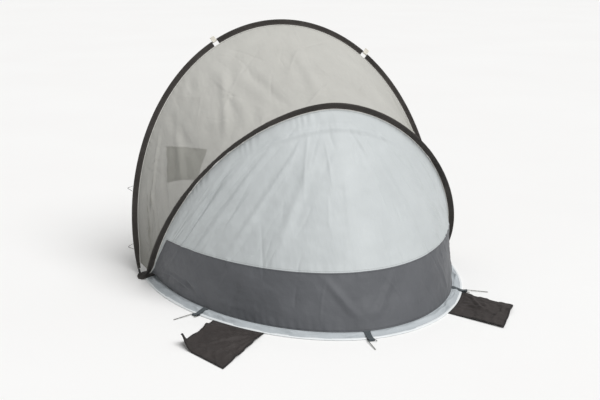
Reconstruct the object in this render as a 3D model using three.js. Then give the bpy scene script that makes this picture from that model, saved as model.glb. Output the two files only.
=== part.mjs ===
// Two-arch tarp shelter: two sprung hoops stand on the corners of an oval floor. A roof cloth spans
// them, and a rear wall in two panels runs from the rear hoop down to the floor. The mouth faces -Y.
// Millimetres, +Z up, origin on the underside of the groundsheet, midway between the two corners.
import * as THREE from 'three';

// ---- Driving dimensions ----
const CLOTH = 1.2; // thickness of roof and wall cloth
const ROOF_HOLLOW = 14; // how far the roof cloth sinks between the two hoops
const GAP = 0.4; // clearance between touching pieces
const HINGE_Z = 16; // height of the line that both hoops fold about
// A bow below 1 makes a hoop belly outward between its foot and its crown.
const HOOPS = {
  front: { footX: 762, footY: -30, halfWidth: 773, height: 1154, power: 2, lean: -337, bow: 0.6 },
  rear: { footX: 736, footY: 0, halfWidth: 738.5, height: 869, power: 1.81, lean: 529, bow: 0.635 },
};
const WIRE_RADIUS = 2.4;
const FLOOR = { halfWidth: 699, rear: 1015, front: 320, power: 1.91, thickness: 1.5 };
const RIM = { width: 44, seamHeight: 18, edgeHeight: 3.2, thickness: 1.4 };
const FLOOR_HOOP = { inset: 20, lift: 0.2, sides: 6, steps: 84 }; // wire under the rims
const CORNER = { rearEnd: 42, frontEnd: -72, flange: 34, lift: 2 }; // corner patch, along Y
// A sleeve is a flat fin: it reaches out past the wire, and inward to the edge where cloth is sewn on.
const SLEEVE = { outer: 5.4, inner: 23, footInner: 9, half: 4.4, edgeHalf: 1.5, skin: 1.0, taper: 0.05 };
const REAR_TWIST = { crown: 0.24, flank: -0.42, flankAt: 0.46 }; // the rear fin's turn towards the wall
const FOOT_CAP = { radius: 5, bottom: 11.5, top: 33 };
const BAND_SLANT = 243; // height of the dark lower wall panel, measured up its slope
const SEAM_GAP = 0.9; // half the opening between the two wall panels
const WALL_FOOT_START = 0.012; // the wall's foot begins this share of the floor line from each corner
const WALL_FOOT_END = 0.998; // the lower panel stops this share of the way down to the floor line
const SEAM_TAPE = { halfShare: 0.0064, from: 0.02, to: 0.97, thickness: 0.9 }; // shares of the wall
const TAB_PLACES = [0.391, 0.65]; // guy tabs, as shares of the front hoop's length
const TAB_GAP = 0.0045; // half the opening in the sleeve at a tab, as a share of the hoop
const LOOP_PLACES = [0.042, 0.128]; // storm loops, from each foot of the front hoop
const GUY_TAB = { width: 22, thickness: 1.8, tail: 24, tailHalf: 1 };
const STORM_LOOP = {
  outline: [[-15, 0], [15, 0], [3, 25], [-3, 25]],
  eye: [[-8, 3.5], [-1, 19], [1, 19], [8, 3.5]],
  thickness: 3,
};
const PEG_STRAP = { width: 26, thickness: 1.6, eyeOuter: 5.2, eyeInner: 3.4, reach: 66 };
const PEG = { radius: 1.9, hook: 17, shaft: 96, bend: 6, tip: 16 };
const PEG_ANGLE = 0.62; // place of the side peg straps on the floor curve, in radians from +X
// Sand pockets: each starts an offset from its peg strap and runs out further at its rear corner.
const POCKET = { thickness: 2.4, clearance: 1.6 };
const POCKETS = {
  left: { sign: 1, offset: 98, width: 266, lengths: [324, 408], swing: 0.26 },
  right: { sign: -1, offset: 20, width: 292, lengths: [268, 275], swing: 0.39 },
};
const INTERIOR = [0, 100, 300]; // a point under the roof
// Corners of the storage pouch on the roof cloth, as shares across it and from rear to front.
const POUCH = {
  top: [[0.215, 0.72], [0.28, 0.22]],
  bottom: [[0.178, 0.44], [0.236, 0.06]],
  thickness: 0.9,
  drop: 7,
};

// ---- Colours ----
const COLOURS = {
  roof: [0xb9b8b0, 0.75, 0],
  silver: [0xcdd4d4, 0.5, 0.1],
  band: [0x5d5f62, 0.8, 0],
  rim: [0xc4cccd, 0.7, 0],
  sleeve: [0x3a3735, 0.85, 0],
  floor: [0x8f9698, 0.7, 0],
  pocket: [0x2c2725, 0.75, 0],
  webbing: [0x50575a, 0.85, 0],
  tab: [0xe4e2da, 0.7, 0],
  steel: [0xb4b6b2, 0.35, 0.9],
  plastic: [0x26282a, 0.5, 0],
};

const shelter = new THREE.Group();
const UP = new THREE.Vector3(0, 0, 1);

function addPiece(name, geometry, colourName) {
  const [color, roughness, metalness] = COLOURS[colourName];
  const mesh = new THREE.Mesh(geometry, new THREE.MeshStandardMaterial({ color, roughness, metalness }));
  mesh.name = name;
  shelter.add(mesh);
  return mesh;
}

const mix = THREE.MathUtils.lerp;
const smooth = THREE.MathUtils.smoothstep;
const vector = (x, y, z) => new THREE.Vector3(x, y, z);

// ---- Curves ----

// A hoop from its +X foot over the crown to its -X foot: a super-ellipse that leans as it rises.
class HoopCurve extends THREE.Curve {
  constructor(hoop) {
    super();
    this.hoop = hoop;
    this.footShare = (1 - (hoop.footX / hoop.halfWidth) ** hoop.power) ** (1 / hoop.power);
  }

  getPoint(t, target = vector(0, 0, 0)) {
    const { halfWidth, height, power, lean, footY, bow } = this.hoop;
    const below = Math.asin(this.footShare ** (power / 2));
    const angle = mix(-below, Math.PI + below, t);
    const c = Math.cos(angle);
    const s = Math.sin(angle);
    const halfHeight = height / (1 + this.footShare);
    const x = halfWidth * Math.sign(c) * Math.abs(c) ** (2 / power);
    const centre = halfHeight * this.footShare;
    const rise = Math.max(0, centre + halfHeight * Math.sign(s) * Math.abs(s) ** (2 / power));
    const y = mix(footY, lean, (rise / height) ** bow);
    return target.set(x, y, mix(HINGE_Z, height, rise / height));
  }
}

// The seam line of the floor: a super-ellipse from the +X corner round to the -X corner.
// side is 1 round the rear and -1 round the front. offset moves it outward.
class FloorCurve extends THREE.Curve {
  constructor(side, offset = 0, z = 0) {
    super();
    this.side = side;
    this.offset = offset;
    this.z = z;
  }

  getPoint(t, target = vector(0, 0, 0)) {
    const angle = Math.PI * t;
    const c = Math.cos(angle);
    const s = Math.sin(angle);
    const depth = this.side > 0 ? FLOOR.rear : FLOOR.front;
    const curl = 2 / FLOOR.power;
    const x = FLOOR.halfWidth * Math.sign(c) * Math.abs(c) ** curl;
    const y = depth * Math.abs(s) ** curl;
    const nx = Math.sign(x) * Math.abs(x / FLOOR.halfWidth) ** (FLOOR.power - 1) / FLOOR.halfWidth;
    const ny = (y / depth) ** (FLOOR.power - 1) / depth;
    const length = Math.hypot(nx, ny);
    const dx = (nx / length) * this.offset;
    const dy = (ny / length) * this.offset;
    return target.set(x + dx, this.side * (y + dy), this.z);
  }
}

const hoops = { front: new HoopCurve(HOOPS.front), rear: new HoopCurve(HOOPS.rear) };

// Tangent, outward normal and sideways direction of a hoop at a share of its length.
function hoopFrame(hoop, share) {
  const at = hoop.getPointAt(share);
  const tangent = hoop.getTangentAt(share);
  const lean = Math.atan2(hoop.hoop.lean - hoop.hoop.footY, hoop.hoop.height);
  const plane = vector(0, Math.cos(lean), -Math.sin(lean));
  const outward = plane.clone().cross(tangent).normalize();
  const side = tangent.clone().cross(outward).normalize();
  return { at, tangent, outward, side };
}

// ---- Solids ----

// A closed solid from a grid of front points and the same grid of back points.
function shellSolid(front, back) {
  const rows = front.length;
  const columns = front[0].length;
  const vertices = [];
  const indices = [];
  const offset = rows * columns;
  [front, back].forEach((grid) => grid.flat().forEach((p) => vertices.push(p.x, p.y, p.z)));
  const quad = (a, b, c, d) => indices.push(a, b, c, a, c, d);
  const id = (r, c) => r * columns + c;
  for (let r = 0; r < rows - 1; r += 1) {
    for (let c = 0; c < columns - 1; c += 1) {
      quad(id(r, c), id(r + 1, c), id(r + 1, c + 1), id(r, c + 1));
      quad(offset + id(r, c), offset + id(r, c + 1), offset + id(r + 1, c + 1), offset + id(r + 1, c));
    }
  }
  for (let r = 0; r < rows - 1; r += 1) {
    quad(id(r, 0), offset + id(r, 0), offset + id(r + 1, 0), id(r + 1, 0));
    const last = columns - 1;
    quad(id(r + 1, last), offset + id(r + 1, last), offset + id(r, last), id(r, last));
  }
  for (let c = 0; c < columns - 1; c += 1) {
    quad(id(0, c + 1), offset + id(0, c + 1), offset + id(0, c), id(0, c));
    const last = rows - 1;
    quad(id(last, c), offset + id(last, c), offset + id(last, c + 1), id(last, c + 1));
  }
  return orientedSolid(vertices, indices);
}

// A closed section swept through a list of stations; each station gives the section's points.
// An inner section makes a tube with open ends.
function sweptSolid(stations, innerStations = null) {
  const vertices = [];
  const indices = [];
  const count = stations[0].length;
  const rings = stations.length;
  const quad = (a, b, c, d) => indices.push(a, b, c, a, c, d);
  stations.flat().forEach((p) => vertices.push(p.x, p.y, p.z));
  for (let r = 0; r < rings - 1; r += 1) {
    for (let i = 0; i < count; i += 1) {
      const j = (i + 1) % count;
      quad(r * count + i, r * count + j, (r + 1) * count + j, (r + 1) * count + i);
    }
  }
  const endRing = (rings - 1) * count;
  if (!innerStations) {
    const flat = THREE.ShapeUtils.triangulateShape(sectionContour(stations[0]), []);
    flat.forEach(([a, b, c]) => indices.push(a, c, b));
    flat.forEach(([a, b, c]) => indices.push(endRing + a, endRing + b, endRing + c));
    return orientedSolid(vertices, indices);
  }
  const inside = vertices.length / 3;
  innerStations.flat().forEach((p) => vertices.push(p.x, p.y, p.z));
  for (let r = 0; r < rings - 1; r += 1) {
    for (let i = 0; i < count; i += 1) {
      const j = (i + 1) % count;
      const ring = inside + r * count;
      quad(ring + i, ring + count + i, ring + count + j, ring + j);
    }
  }
  for (let i = 0; i < count; i += 1) {
    const j = (i + 1) % count;
    quad(i, inside + i, inside + j, j);
    quad(endRing + i, endRing + j, inside + endRing + j, inside + endRing + i);
  }
  return orientedSolid(vertices, indices);
}

// The ring's points in their own plane, so that its cap can be cut into triangles.
function sectionContour(ring) {
  const origin = ring[0];
  const u = ring[1].clone().sub(origin).normalize();
  const normal = vector(0, 0, 0);
  for (let i = 1; i < ring.length - 1; i += 1) {
    normal.add(ring[i].clone().sub(origin).cross(ring[i + 1].clone().sub(origin)));
  }
  const v = normal.normalize().cross(u);
  return ring.map((p) => {
    const d = p.clone().sub(origin);
    return new THREE.Vector2(d.dot(u), d.dot(v));
  });
}

// Turns the faces outward if the signed volume says that they point in.
function orientedSolid(vertices, indices) {
  let volume = 0;
  for (let i = 0; i < indices.length; i += 3) {
    const [a, b, c] = [0, 1, 2].map((k) => vector(0, 0, 0).fromArray(vertices, indices[i + k] * 3));
    volume += a.dot(b.cross(c));
  }
  if (volume < 0) {
    for (let i = 0; i < indices.length; i += 3) {
      [indices[i + 1], indices[i + 2]] = [indices[i + 2], indices[i + 1]];
    }
  }
  const geometry = new THREE.BufferGeometry();
  geometry.setAttribute('position', new THREE.Float32BufferAttribute(vertices, 3));
  geometry.setIndex(indices);
  geometry.computeVertexNormals();
  return geometry;
}

function wireAlong(curve, steps, sides, radius = WIRE_RADIUS) {
  const section = new THREE.Shape(new THREE.EllipseCurve(0, 0, radius, radius).getPoints(sides));
  return new THREE.ExtrudeGeometry(section, { steps, bevelEnabled: false, extrudePath: curve });
}

// Moves a grid of points along its own surface normals.
function offsetGrid(grid, distance) {
  const rows = grid.length;
  const columns = grid[0].length;
  return grid.map((row, r) => row.map((p, c) => {
    const down = grid[Math.min(r + 1, rows - 1)][c].clone().sub(grid[Math.max(r - 1, 0)][c]);
    const across = row[Math.min(c + 1, columns - 1)].clone().sub(row[Math.max(c - 1, 0)]);
    return p.clone().addScaledVector(down.cross(across).normalize(), distance);
  }));
}

function sheetSolid(grid, thickness) {
  return shellSolid(offsetGrid(grid, thickness / 2), offsetGrid(grid, -thickness / 2));
}

function gridOf(rows, columns, pointAt) {
  const row = (r) => Array.from({ length: columns + 1 }, (_, c) => pointAt(r / rows, c / columns));
  return Array.from({ length: rows + 1 }, (_, r) => row(r));
}

// ---- Hoops and their sleeves ----

function sleeveReach(share) {
  const fromFoot = Math.min(share, 1 - share);
  return mix(SLEEVE.footInner, SLEEVE.inner, smooth(fromFoot, 0, SLEEVE.taper));
}

// The rear sleeve's fin turns towards the wall at the crown and towards the roof on both flanks.
function finTwist(hoop, share) {
  if (hoop !== hoops.rear) {
    return 0;
  }
  const { crown, flank, flankAt } = REAR_TWIST;
  const fromCrown = Math.abs(share - 0.5) * 2;
  const upper = mix(crown, flank, smooth(fromCrown, 0, flankAt));
  return fromCrown < flankAt ? upper : mix(flank, 0, smooth(fromCrown, flankAt, 0.92));
}

// The direction of the fin from the wire inward, and the direction across it on its +Y side.
function finFrame(hoop, share) {
  const { at, outward, side } = hoopFrame(hoop, share);
  const rearward = side.y > 0 ? side : side.negate();
  const twist = finTwist(hoop, share);
  const inward = outward.clone().multiplyScalar(-Math.cos(twist)).addScaledVector(rearward, Math.sin(twist));
  const across = rearward.clone().multiplyScalar(Math.cos(twist)).addScaledVector(outward, Math.sin(twist));
  return { at, inward, across };
}

function sleeveSection(hoop, share, inset) {
  const { at, inward, across } = finFrame(hoop, share);
  const outer = SLEEVE.outer - inset;
  const half = SLEEVE.half - inset;
  const edgeHalf = SLEEVE.edgeHalf - inset * 0.8;
  const edge = sleeveReach(share) - inset * 1.5;
  const belly = 5 - inset * 0.4;
  const flank = [[-outer * 0.7, half * 0.77], [-outer * 0.18, half], [belly, half], [edge, edgeHalf]];
  const mirrored = flank.map(([reach, rise]) => [reach, -rise]).reverse();
  const corners = [[-outer, 0], ...flank, ...mirrored];
  return corners.map(([i, a]) => at.clone().addScaledVector(inward, i).addScaledVector(across, a));
}

function sleeve(hoop, from, to, steps) {
  const shares = Array.from({ length: steps + 1 }, (_, i) => mix(from, to, i / steps));
  const outer = shares.map((share) => sleeveSection(hoop, share, 0));
  const inner = shares.map((share) => sleeveSection(hoop, share, SLEEVE.skin));
  return sweptSolid(outer, inner);
}

function footCap(hoop, sign, steps) {
  const { radius, bottom, top } = FOOT_CAP;
  const bore = WIRE_RADIUS + GAP;
  const outline = [[0, 0], [radius - 1, 0], [radius, 1.2], [radius, top - bottom], [bore, top - bottom]];
  outline.push([bore, 3.4], [0, 3.4]);
  const geometry = new THREE.LatheGeometry(outline.map(([r, h]) => new THREE.Vector2(r, h)), 14);
  geometry.rotateX(Math.PI / 2);
  const along = hoop.getPointAt(1 / steps).sub(hoop.getPointAt(0)).normalize();
  along.x *= sign;
  geometry.applyQuaternion(new THREE.Quaternion().setFromUnitVectors(UP, along));
  const { footX, footY } = hoop.hoop;
  const back = HINGE_Z - bottom;
  geometry.translate(sign * footX - along.x * back, footY - along.y * back, HINGE_Z - along.z * back);
  return geometry;
}

function buildHoop(name, steps) {
  const hoop = hoops[name];
  addPiece(`${name}_arch_wire`, wireAlong(hoop, steps, 8), 'steel');
  [['left', 1], ['right', -1]].forEach(([side, sign]) => {
    addPiece(`${name}_foot_cap_${side}`, footCap(hoop, sign, steps), 'plastic');
  });
}

const SLEEVE_START = 0.0075; // sleeves begin just above the foot caps

function buildSleeves() {
  addPiece('rear_arch_sleeve', sleeve(hoops.rear, SLEEVE_START, 1 - SLEEVE_START, 92), 'sleeve');
  const [near, far] = TAB_PLACES;
  const stretches = [
    ['left', SLEEVE_START, near - TAB_GAP, 44],
    ['centre', near + TAB_GAP, far - TAB_GAP, 16],
    ['right', far + TAB_GAP, 1 - SLEEVE_START, 44],
  ];
  stretches.forEach(([side, from, to, steps]) => {
    addPiece(`front_arch_sleeve_${side}`, sleeve(hoops.front, from, to, steps), 'sleeve');
  });
}

// ---- Cloth ----

// A point on the inner edge of a hoop's sleeve where cloth is sewn on. toward is 1 for its +Y face.
function sleeveEdge(hoop, share, toward) {
  const { at, inward, across } = finFrame(hoop, share);
  const reach = sleeveReach(share) + GAP + CLOTH;
  const offset = GAP * 2 + CLOTH / 2;
  return at.addScaledVector(inward, reach).addScaledVector(across, toward * offset);
}

const CLOTH_START = 0.016; // the cloth begins this share of a hoop's length above each foot

function clothShare(u) {
  return mix(CLOTH_START, 1 - CLOTH_START, u);
}

// Roof: u runs from the +X foot to the -X foot and v from the rear hoop to the front hoop.
function roofPoint(u, v) {
  const share = clothShare(u);
  const rear = sleeveEdge(hoops.rear, share, -1);
  const front = sleeveEdge(hoops.front, share, 1);
  const hollow = ROOF_HOLLOW * Math.sin(Math.PI * v) * Math.sin(Math.PI * u);
  const inward = hoopFrame(hoops.rear, share).outward.multiplyScalar(-hollow);
  return rear.lerp(front, v).add(inward);
}

const wallSeam = new FloorCurve(1, 0, RIM.seamHeight + CLOTH);

// The bottom of the wall follows the floor seam, and flares out to the corner at each end.
function wallFoot(u) {
  return wallSeam.getPointAt(mix(WALL_FOOT_START, 1 - WALL_FOOT_START, u));
}

// Rear wall: u as on the roof, v from the rear hoop down to the floor seam.
function wallPoint(u, v) {
  const top = sleeveEdge(hoops.rear, clothShare(u), 1);
  return top.lerp(wallFoot(u), v);
}

function wallSlant(u) {
  return wallPoint(u, 0).distanceTo(wallPoint(u, 1));
}

// Where the two wall panels are sewn together, as a share of the way down the wall.
function bandTop(u) {
  return 1 - Math.min(BAND_SLANT / wallSlant(u), 0.9);
}

function buildCloth() {
  addPiece('roof_canopy', sheetSolid(gridOf(5, 44, (v, u) => roofPoint(u, v)), CLOTH), 'roof');
  const seamGap = (u) => SEAM_GAP / wallSlant(u);
  const upper = gridOf(4, 44, (v, u) => wallPoint(u, v * (bandTop(u) - seamGap(u))));
  const lower = gridOf(2, 44, (v, u) => wallPoint(u, mix(bandTop(u) + seamGap(u), WALL_FOOT_END, v)));
  addPiece('rear_wall_panel', sheetSolid(upper, CLOTH), 'silver');
  addPiece('rear_wall_band', sheetSolid(lower, CLOTH), 'band');
}

// The seam tape runs down the inside of the wall at the centre.
function buildSeamTape() {
  const { halfShare, from, to, thickness } = SEAM_TAPE;
  const inward = CLOTH / 2 + thickness / 2 + GAP * 3;
  const acrossShare = (across) => 0.5 + mix(-halfShare, halfShare, across);
  const strip = gridOf(6, 1, (v, across) => wallPoint(acrossShare(across), mix(from, to, v)));
  addPiece('rear_seam_tape', sheetSolid(offsetGrid(strip, -inward), thickness), 'webbing');
}

// A storage pouch hangs inside the roof cloth on the +X side, with its top and bottom level.
function buildPouch() {
  const { top, bottom, thickness, drop } = POUCH;
  const at = (down, along) => [0, 1].map((k) => {
    const high = mix(top[0][k], top[1][k], along);
    const low = mix(bottom[0][k], bottom[1][k], along);
    return mix(high, low, down);
  });
  const patch = gridOf(4, 4, (down, along) => roofPoint(...at(down, along)));
  const inside = offsetGrid(patch, drop);
  const centre = vector(...INTERIOR);
  const isInside = inside[0][0].distanceTo(centre) < patch[0][0].distanceTo(centre);
  addPiece('storage_pouch', sheetSolid(isInside ? inside : offsetGrid(patch, -drop), thickness), 'floor');
}

// ---- Floor ----

function floorOutline(offset, count) {
  const points = [];
  [1, -1].forEach((side) => {
    const ring = new FloorCurve(side, offset).getSpacedPoints(count);
    if (side < 0) {
      ring.reverse();
    }
    ring.slice(0, -1).forEach((p) => points.push(new THREE.Vector2(p.x, p.y)));
  });
  return points;
}

function buildGroundsheet() {
  const shape = new THREE.Shape(floorOutline(RIM.width, 36));
  const options = { depth: FLOOR.thickness, bevelEnabled: false };
  addPiece('groundsheet', new THREE.ExtrudeGeometry(shape, options), 'floor');
}

// Height of the rim's top face at a distance outward from the wall seam.
function rimHeight(outward) {
  return mix(RIM.seamHeight, RIM.edgeHeight, Math.min(1, outward / RIM.width));
}

// Sweeps a section, given as [outward, z] pairs, along the part of the floor line between two heights of Y.
function sweptRim(side, startY, steps, section) {
  const line = new FloorCurve(side);
  let first = 0;
  while (Math.abs(line.getPointAt(first).y) < Math.abs(startY)) {
    first += 0.001;
  }
  const stations = Array.from({ length: steps + 1 }, (_, i) => {
    const share = mix(first, 1 - first, i / steps);
    const at = line.getPointAt(share);
    const tangent = line.getTangentAt(share);
    const outward = vector(tangent.y, -tangent.x, 0).multiplyScalar(side).normalize();
    return section.map(([out, z]) => at.clone().addScaledVector(outward, out).setZ(z));
  });
  return sweptSolid(stations);
}

function rimSection(inner) {
  const t = RIM.thickness;
  const edge = RIM.width;
  const top = rimHeight(inner);
  return [[inner, top], [edge, rimHeight(edge)], [edge, rimHeight(edge) - t], [inner, top - t]];
}

function buildRim() {
  addPiece('rear_rim', sweptRim(1, CORNER.rearEnd + GAP, 46, rimSection(0.5)), 'rim');
  addPiece('front_rim', sweptRim(-1, CORNER.frontEnd - GAP, 28, rimSection(0.5)), 'rim');
}

class HoopLoop extends THREE.Curve {
  getPoint(t) {
    const side = t < 0.5 ? 1 : -1;
    const share = t < 0.5 ? t * 2 : 2 - t * 2;
    const z = FLOOR.thickness + GAP + WIRE_RADIUS + FLOOR_HOOP.lift;
    return new FloorCurve(side, FLOOR_HOOP.inset, z).getPointAt(share);
  }
}

function buildFloorHoop() {
  const { steps: count, sides } = FLOOR_HOOP;
  const points = new HoopLoop().getSpacedPoints(count).slice(0, -1);
  const stations = points.map((at, i) => {
    const next = points[(i + 1) % count];
    const before = points[(i + count - 1) % count];
    const tangent = next.clone().sub(before).normalize();
    const outward = tangent.clone().cross(UP).normalize();
    return Array.from({ length: sides }, (_, k) => {
      const angle = (k / sides) * Math.PI * 2;
      const reach = Math.cos(angle) * WIRE_RADIUS;
      return at.clone().addScaledVector(outward, reach).addScaledVector(UP, Math.sin(angle) * WIRE_RADIUS);
    });
  });
  const vertices = stations.flat().flatMap((p) => [p.x, p.y, p.z]);
  const indices = [];
  for (let r = 0; r < count; r += 1) {
    for (let i = 0; i < sides; i += 1) {
      const j = (i + 1) % sides;
      const a = r * sides;
      const b = ((r + 1) % count) * sides;
      indices.push(a + i, a + j, b + j, a + i, b + j, b + i);
    }
  }
  addPiece('floor_hoop_wire', orientedSolid(vertices, indices), 'steel');
}

// A reinforcing patch bridges the rims at each corner, under the hoops' feet.
function buildCornerPatches() {
  const { rearEnd, frontEnd, flange, lift } = CORNER;
  const edge = RIM.width;
  const section = [
    [-6, RIM.seamHeight + lift],
    [edge, rimHeight(edge) + lift],
    [edge + flange, lift],
    [edge + flange, 0.2],
    [edge + 1, rimHeight(edge) - RIM.thickness],
    [-6, RIM.seamHeight + lift - RIM.thickness * 1.6],
  ];
  [['left', 1], ['right', -1]].forEach(([side, sign]) => {
    const stations = Array.from({ length: 7 }, (_, i) => {
      const y = mix(frontEnd, rearEnd, i / 6);
      return section.map(([out, z]) => vector(sign * (cornerX(y) + out), y, z));
    });
    addPiece(`corner_patch_${side}`, sweptSolid(stations), 'webbing');
  });
}

// X of the floor seam at a given Y near a corner.
function cornerX(y) {
  const depth = y > 0 ? FLOOR.rear : FLOOR.front;
  return FLOOR.halfWidth * (1 - Math.abs(y / depth) ** FLOOR.power) ** (1 / FLOOR.power);
}

// ---- Straps, pegs and pockets round the floor ----

// The frame at an angle round the rear floor curve: outward and along directions at the seam.
function floorStation(angle) {
  const line = new FloorCurve(1);
  const at = line.getPoint(angle / Math.PI);
  const outer = new FloorCurve(1, 1).getPoint(angle / Math.PI);
  const outward = outer.sub(at).normalize();
  const along = vector(-outward.y, outward.x, 0);
  return { at, outward, along };
}

function placeAt(geometry, { at, outward, along }) {
  geometry.applyMatrix4(new THREE.Matrix4().makeBasis(outward, along, UP).setPosition(at));
  return geometry;
}

// A strap over the rim that ends in a sewn eye. Its side view lies in the outward-up plane.
function pegStrap() {
  const { width, thickness, eyeOuter, eyeInner, reach } = PEG_STRAP;
  const clear = GAP + 0.2;
  const under = (u) => rimHeight(u) + clear;
  const start = 1.5;
  const edge = RIM.width;
  const shape = new THREE.Shape();
  shape.moveTo(start, under(start));
  shape.lineTo(edge, under(edge));
  shape.lineTo(reach - eyeOuter, 0.6);
  shape.absarc(reach, eyeOuter + 0.1, eyeOuter, -Math.PI / 2, Math.PI * 0.75, false);
  shape.lineTo(edge, under(edge) + thickness);
  shape.lineTo(start, under(start) + thickness);
  shape.closePath();
  const eye = new THREE.Path();
  eye.absarc(reach, eyeOuter + 0.1, eyeInner, 0, Math.PI * 2, true);
  shape.holes.push(eye);
  const geometry = new THREE.ExtrudeGeometry(shape, { depth: width, bevelEnabled: false, curveSegments: 5 });
  geometry.translate(0, 0, -width / 2);
  geometry.rotateX(Math.PI / 2);
  return geometry;
}

// A wire peg lies on the ground: its hook passes through the strap's eye and its shaft points
// outward, at the end of the hook that hand says.
function peg(hand) {
  const { reach, eyeOuter } = PEG_STRAP;
  const { shaft, bend } = PEG;
  const hook = PEG.hook * hand;
  const turn = bend * hand;
  const z = eyeOuter + 0.1;
  const rest = PEG.radius + 0.1;
  const path = new THREE.CurvePath();
  const line = (from, to) => path.add(new THREE.LineCurve3(from, to));
  const corner = (from, over, to) => path.add(new THREE.QuadraticBezierCurve3(from, over, to));
  const tip = vector(reach + PEG.tip, -hook, z);
  const a = vector(reach + bend, -hook, z);
  const b = vector(reach, -hook + turn, z);
  const c = vector(reach, hook - turn, z);
  const d = vector(reach + bend, hook, z);
  line(tip, a);
  corner(a, vector(reach, -hook, z), b);
  line(b, c);
  corner(c, vector(reach, hook, z), d);
  line(d, vector(reach + shaft, hook, rest));
  return wireAlong(path, 26, 8, PEG.radius);
}

function buildPegs() {
  const stations = [['left', PEG_ANGLE, -1], ['centre', Math.PI / 2, -1], ['right', Math.PI - PEG_ANGLE, 1]];
  stations.forEach(([name, angle, hand]) => {
    const station = floorStation(angle);
    addPiece(`peg_strap_${name}`, placeAt(pegStrap(), station), 'webbing');
    addPiece(`peg_${name}`, placeAt(peg(hand), station), 'steel');
  });
}

// Sand pockets are flat cloth bags sewn to the edge of the rim, beside the side peg straps.
function sandPocket({ sign, offset, width, lengths, swing }) {
  const edge = new FloorCurve(1, RIM.width + POCKET.clearance);
  const total = edge.getLength();
  const from = shareAtAngle(edge, PEG_ANGLE) + offset / total;
  const to = from + width / total;
  const root = Array.from({ length: 7 }, (_, i) => edge.getPointAt(mix(from, to, i / 6)));
  const chord = root[6].clone().sub(root[0]).normalize();
  const outward = vector(chord.y, -chord.x, 0);
  const reach = outward.multiplyScalar(Math.cos(swing)).addScaledVector(chord, Math.sin(swing));
  const rearCorner = root[6].clone().addScaledVector(reach, lengths[1]);
  const frontCorner = root[0].clone().addScaledVector(reach, lengths[0]);
  const outline = [...root, rearCorner, frontCorner].map((p) => new THREE.Vector2(p.x * sign, p.y));
  const options = { depth: POCKET.thickness, bevelEnabled: false };
  return new THREE.ExtrudeGeometry(new THREE.Shape(outline), options);
}

function shareAtAngle(curve, angle) {
  const target = curve.getPoint(angle / Math.PI);
  let best = 0;
  for (let share = 0; share < 0.5; share += 0.001) {
    if (curve.getPointAt(share).distanceTo(target) < curve.getPointAt(best).distanceTo(target)) {
      best = share;
    }
  }
  return best;
}

function buildPockets() {
  Object.entries(POCKETS).forEach(([side, sizes]) => {
    addPiece(`sand_pocket_${side}`, sandPocket(sizes), 'pocket');
  });
}

// ---- Tabs and loops on the front hoop ----

// A band of cloth wrapped round the bare wire in a gap of the sleeve, with a tail outward.
function guyTab(share) {
  const { at, tangent, outward, side } = hoopFrame(hoops.front, share);
  const { width, thickness, tail, tailHalf } = GUY_TAB;
  const inner = WIRE_RADIUS + GAP * 3;
  const outer = inner + thickness;
  const shape = new THREE.Shape();
  shape.absarc(0, 0, outer, Math.PI * 0.56, Math.PI * 2.44, false);
  shape.lineTo(tailHalf, tail);
  shape.lineTo(-tailHalf, tail);
  shape.closePath();
  const hole = new THREE.Path();
  hole.absarc(0, 0, inner, 0, Math.PI * 2, true);
  shape.holes.push(hole);
  const geometry = new THREE.ExtrudeGeometry(shape, { depth: width, bevelEnabled: false, curveSegments: 9 });
  geometry.translate(0, 0, -width / 2);
  geometry.applyMatrix4(new THREE.Matrix4().makeBasis(side.negate(), outward, tangent).setPosition(at));
  return geometry;
}

// A soft triangular loop of tape that stands out from the sleeve.
function stormLoop(share) {
  const { at, tangent, outward, side } = hoopFrame(hoops.front, share);
  const { outline, eye, thickness } = STORM_LOOP;
  const points = (corners) => corners.map(([x, y]) => new THREE.Vector2(x, y));
  const shape = new THREE.Shape(points(outline));
  shape.holes.push(new THREE.Path(points(eye)));
  const geometry = new THREE.ExtrudeGeometry(shape, { depth: thickness, bevelEnabled: false });
  geometry.translate(0, SLEEVE.outer + GAP * 3, -thickness / 2);
  geometry.applyMatrix4(new THREE.Matrix4().makeBasis(tangent, outward, side).setPosition(at));
  return geometry;
}

function buildTrim() {
  const sides = ['left', 'right'];
  sides.forEach((side, i) => {
    addPiece(`guy_tab_${side}`, guyTab(TAB_PLACES[i]), 'tab');
    LOOP_PLACES.forEach((place, level) => {
      const share = i === 0 ? place : 1 - place;
      addPiece(`storm_loop_${side}_${level === 0 ? 'lower' : 'upper'}`, stormLoop(share), 'sleeve');
    });
  });
}

buildGroundsheet();
buildFloorHoop();
buildRim();
buildCornerPatches();
buildHoop('rear', 120);
buildHoop('front', 140);
buildSleeves();
buildCloth();
buildSeamTape();
buildPouch();
buildPegs();
buildPockets();
buildTrim();

export default shelter;
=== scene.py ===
"""A two-arch tarp shelter: roof cloth between two sprung hoops, a rear wall in two panels, a puffed rim
round an oval groundsheet, peg straps, pegs and two sand pockets. Metres, mouth towards -Y."""

import math
from types import SimpleNamespace as Sizes

import bpy
import numpy as np
from mathutils import Matrix, Vector


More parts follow.
